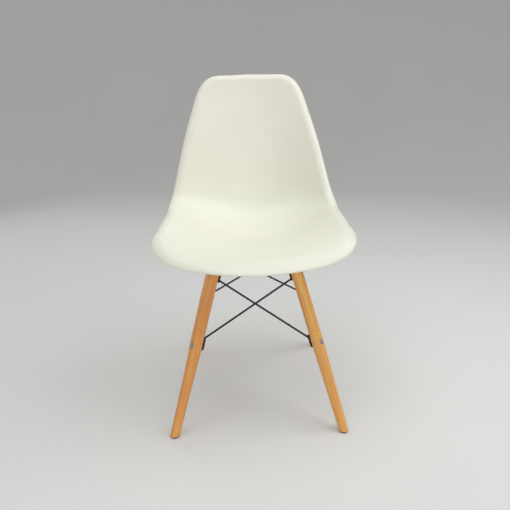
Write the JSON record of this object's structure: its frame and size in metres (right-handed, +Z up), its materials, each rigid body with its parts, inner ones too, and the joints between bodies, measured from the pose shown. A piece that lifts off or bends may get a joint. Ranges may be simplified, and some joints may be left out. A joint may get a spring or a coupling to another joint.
{
  "type": "dining chair",
  "caption": "Armless side chair: a moulded plastic seat and back shell on splayed round wooden legs braced by crossed steel wires.",
  "frame": {"origin": "on the floor, under the middle of the chair's overall box", "axes": "+Z up, the sitter faces -Y, +X to the right of someone who looks at the chair's front"},
  "size_m": [0.4676, 0.5208, 0.8241],
  "materials": {
    "shell": "satin moulded polypropylene, off-white",
    "wood": "clear satin varnish over beech",
    "wire": "black powder coat",
    "bracket": "black powder coat",
    "fastener": "zinc plated",
    "insert": "turned brass",
    "glide": "black moulded plastic"
  },
  "bodies": {
    "root": {"brace_front_from_left": "wire", "brace_front_from_right": "wire", "brace_left_from_front": "wire", "brace_left_from_rear": "wire", "brace_rear_from_left": "wire", "brace_rear_from_right": "wire", "brace_right_from_front": "wire", "brace_right_from_rear": "wire", "foot_glide_front_left": "glide", "foot_glide_front_right": "glide", "foot_glide_rear_left": "glide", "foot_glide_rear_right": "glide", "glide_nails": "fastener", "leg_front_left": "wood", "leg_front_right": "wood", "leg_rear_left": "wood", "leg_rear_right": "wood", "lower_leg_bolts": "fastener", "lower_leg_nuts": "fastener", "lower_leg_washers": "fastener", "lower_tab_front_left": "bracket", "lower_tab_front_right": "bracket", "lower_tab_rear_left": "bracket", "lower_tab_rear_right": "bracket", "seat_screws": "fastener", "seat_shell": "shell", "seat_washers": "fastener", "threaded_inserts": "insert", "top_bracket_front_left": "bracket", "top_bracket_front_right": "bracket", "top_bracket_rear_left": "bracket", "top_bracket_rear_right": "bracket", "upper_leg_bolts": "fastener", "upper_leg_nuts": "fastener", "upper_leg_washers": "fastener"}
  },
  "joints": []
}
